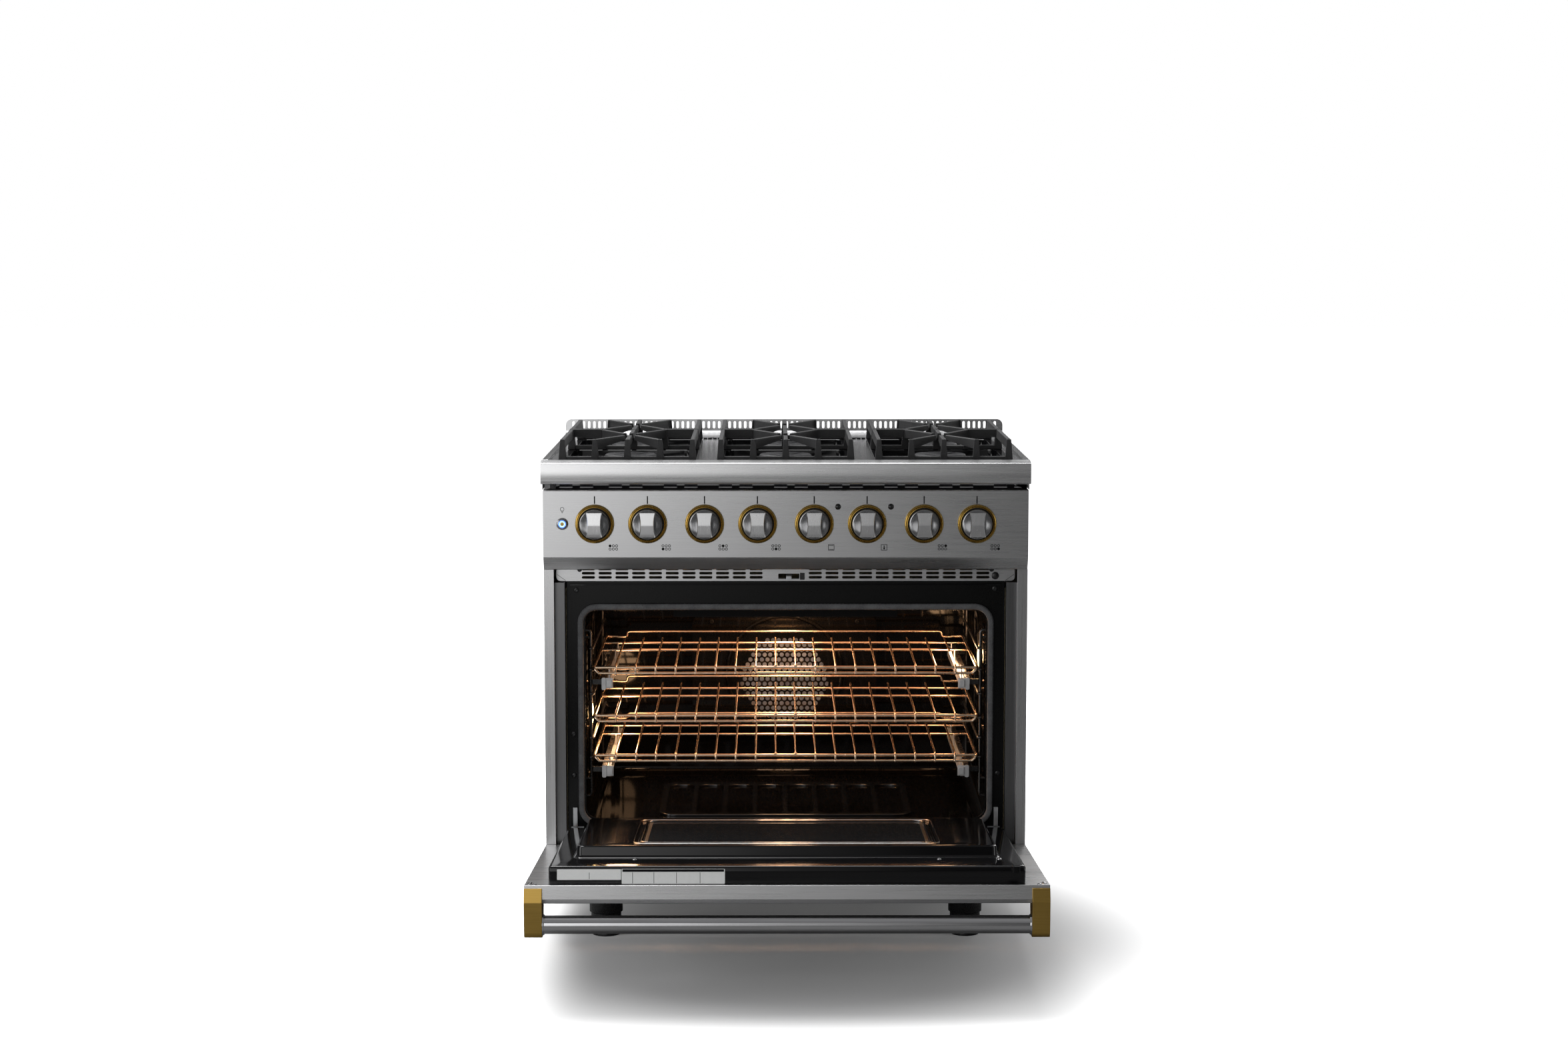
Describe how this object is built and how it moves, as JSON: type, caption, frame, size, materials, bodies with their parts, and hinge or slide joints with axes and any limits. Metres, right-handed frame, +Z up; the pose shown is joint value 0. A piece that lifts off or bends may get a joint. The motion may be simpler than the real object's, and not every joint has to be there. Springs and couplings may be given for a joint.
{
  "type": "freestanding gas range",
  "caption": "Freestanding gas range with cast grates, a row of knobs over a wide oven, and a drop-down door with a tubular handle, shown open over wire racks.",
  "frame": {"origin": "centre of the bounding box's footprint on the floor, with the door open on its stop", "axes": "+Z up; +Y from the front to the wall behind; +X to the right as seen from the front"},
  "size_m": [0.911, 1.1148, 0.961],
  "materials": {
    "stainless": "brushed, satin",
    "galvanised_steel": "zinc coated, matt",
    "black_porcelain": "glossy porcelain enamel",
    "cast_iron": "matt enamelled, cast grain",
    "cap_enamel": "satin black enamel",
    "brass": "machined",
    "brushed_brass": "brushed, satin",
    "cast_aluminium": "as cast",
    "chrome_wire": "polished",
    "gasket_braid": "braided fibreglass",
    "lamp_glass": "clear, ribbed",
    "door_glass": "tinted, polished",
    "insulation": "mineral wool",
    "black_plastic": "satin black",
    "control_plastic": "moulded",
    "button_metal": "spun, satin"
  },
  "bodies": {
    "root": {"side_panel_left": "stainless", "side_panel_right": "stainless", "back_panel": "galvanised_steel", "base_frame": "galvanised_steel", "front_frame": "black_porcelain", "control_panel": "stainless", "landing_ledge": "stainless", "ledge_vent_strip": "black_plastic", "door_vent_trim": "stainless", "cooktop_panel": "stainless", "burner_bowls": "black_porcelain", "island_trim": "stainless", "burner_bases": "brass", "burner_caps": "cap_enamel", "gas_manifold": "galvanised_steel", "pressure_regulator": "cast_aluminium", "gas_valves": "brass", "oven_controls": "control_plastic", "knob_bezels": "brushed_brass", "oven_cavity": "black_porcelain", "oven_gasket": "gasket_braid", "fan_baffle": "black_porcelain", "fan_motor": "galvanised_steel", "rack_ladders": "chrome_wire", "glide_rails": "galvanised_steel", "oven_lamps": "lamp_glass", "oven_burners": "cast_iron", "insulation_wrap": "insulation", "hinge_receivers": "galvanised_steel"},
    "door": {"door_skin": "stainless", "door_liner": "black_porcelain", "door_glass": "door_glass", "handle_bar": "stainless", "handle_brackets": "brushed_brass", "hinge_arms": "galvanised_steel"},
    "rack_top": {"rack_top": "chrome_wire"},
    "rack_middle": {"rack_middle": "chrome_wire"},
    "rack_bottom": {"rack_bottom": "chrome_wire"},
    "fan_blade": {"fan_blade": "galvanised_steel"},
    "light_button": {"light_button": "button_metal"},
    "door_switch_plunger": {"door_switch_plunger": "black_plastic"},
    "latch_hook": {"latch_hook": "galvanised_steel"},
    "burner_knob_1": {"burner_knob_1": "stainless"},
    "burner_knob_2": {"burner_knob_2": "stainless"},
    "burner_knob_3": {"burner_knob_3": "stainless"},
    "burner_knob_4": {"burner_knob_4": "stainless"},
    "burner_knob_5": {"burner_knob_5": "stainless"},
    "burner_knob_6": {"burner_knob_6": "stainless"},
    "oven_mode_knob": {"oven_mode_knob": "stainless"},
    "oven_temp_knob": {"oven_temp_knob": "stainless"},
    "grate_1": {"grate_1": "cast_iron"},
    "grate_2": {"grate_2": "cast_iron"},
    "grate_3": {"grate_3": "cast_iron"},
    "grate_4": {"grate_4": "cast_iron"},
    "grate_5": {"grate_5": "cast_iron"},
    "grate_6": {"grate_6": "cast_iron"},
    "foot_1": {"foot_1": "black_plastic"},
    "foot_2": {"foot_2": "black_plastic"},
    "foot_3": {"foot_3": "black_plastic"},
    "foot_4": {"foot_4": "black_plastic"}
  },
  "joints": [
    {"name": "door_hinge", "type": "hinge", "parent": "root", "child": "door", "pos_m": [0, -0.04808, 0.2015], "axis": [-1, 0, 0], "range_deg": [0, 85.7]},
    {"name": "rack_top_slide", "type": "slide", "parent": "root", "child": "rack_top", "axis": [0, 1, 0], "range_m": [-0.3, 0]},
    {"name": "rack_middle_slide", "type": "slide", "parent": "root", "child": "rack_middle", "axis": [0, 1, 0], "range_m": [-0.3, 0]},
    {"name": "rack_bottom_slide", "type": "slide", "parent": "root", "child": "rack_bottom", "axis": [0, 1, 0], "range_m": [-0.3, 0]},
    {"name": "fan_spin", "type": "hinge", "parent": "root", "child": "fan_blade", "pos_m": [0, 0.46742, 0.426], "axis": [0, -1, 0], "continuous": true},
    {"name": "light_button_press", "type": "slide", "parent": "root", "child": "light_button", "axis": [0, 1, 0], "range_m": [0, 0.002], "stiffness_N_per_m": 500, "springref_m": -0.0005},
    {"name": "door_switch_travel", "type": "slide", "parent": "root", "child": "door_switch_plunger", "axis": [0, 1, 0], "range_m": [0, 0.0035]},
    {"name": "latch_hook_swing", "type": "hinge", "parent": "root", "child": "latch_hook", "pos_m": [0.006, -0.00458, 0.699], "axis": [0, 0, 1], "range_deg": [0, 18]},
    {"name": "burner_knob_1_turn", "type": "hinge", "parent": "root", "child": "burner_knob_1", "pos_m": [-0.3575, -0.09758, 0.805], "axis": [0, -1, 0], "range_deg": [0, 270]},
    {"name": "burner_knob_2_turn", "type": "hinge", "parent": "root", "child": "burner_knob_2", "pos_m": [-0.2585, -0.09758, 0.805], "axis": [0, -1, 0], "range_deg": [0, 270]},
    {"name": "burner_knob_3_turn", "type": "hinge", "parent": "root", "child": "burner_knob_3", "pos_m": [-0.152, -0.09758, 0.805], "axis": [0, -1, 0], "range_deg": [0, 270]},
    {"name": "burner_knob_4_turn", "type": "hinge", "parent": "root", "child": "burner_knob_4", "pos_m": [-0.053, -0.09758, 0.805], "axis": [0, -1, 0], "range_deg": [0, 270]},
    {"name": "burner_knob_5_turn", "type": "hinge", "parent": "root", "child": "burner_knob_5", "pos_m": [0.2585, -0.09758, 0.805], "axis": [0, -1, 0], "range_deg": [0, 270]},
    {"name": "burner_knob_6_turn", "type": "hinge", "parent": "root", "child": "burner_knob_6", "pos_m": [0.3575, -0.09758, 0.805], "axis": [0, -1, 0], "range_deg": [0, 270]},
    {"name": "oven_mode_knob_turn", "type": "hinge", "parent": "root", "child": "oven_mode_knob", "pos_m": [0.053, -0.09758, 0.805], "axis": [0, -1, 0], "range_deg": [-300, 0]},
    {"name": "oven_temp_knob_turn", "type": "hinge", "parent": "root", "child": "oven_temp_knob", "pos_m": [0.152, -0.09758, 0.805], "axis": [0, -1, 0], "range_deg": [-300, 0]},
    {"name": "grate_1_lift", "type": "slide", "parent": "root", "child": "grate_1", "axis": [0, 0, 1], "range_m": [0, 0.1]},
    {"name": "grate_2_lift", "type": "slide", "parent": "root", "child": "grate_2", "axis": [0, 0, 1], "range_m": [0, 0.1]},
    {"name": "grate_3_lift", "type": "slide", "parent": "root", "child": "grate_3", "axis": [0, 0, 1], "range_m": [0, 0.1]},
    {"name": "grate_4_lift", "type": "slide", "parent": "root", "child": "grate_4", "axis": [0, 0, 1], "range_m": [0, 0.1]},
    {"name": "grate_5_lift", "type": "slide", "parent": "root", "child": "grate_5", "axis": [0, 0, 1], "range_m": [0, 0.1]},
    {"name": "grate_6_lift", "type": "slide", "parent": "root", "child": "grate_6", "axis": [0, 0, 1], "range_m": [0, 0.1]},
    {"name": "foot_1_adjust", "type": "slide", "parent": "root", "child": "foot_1", "axis": [0, 0, 1], "range_m": [-0.05, 0]},
    {"name": "foot_2_adjust", "type": "slide", "parent": "root", "child": "foot_2", "axis": [0, 0, 1], "range_m": [-0.05, 0]},
    {"name": "foot_3_adjust", "type": "slide", "parent": "root", "child": "foot_3", "axis": [0, 0, 1], "range_m": [-0.05, 0]},
    {"name": "foot_4_adjust", "type": "slide", "parent": "root", "child": "foot_4", "axis": [0, 0, 1], "range_m": [-0.05, 0]}
  ],
  "couplings": [
    {"joint": "door_switch_travel", "follows": "door_hinge", "m_per_rad": 0.002206}
  ]
}
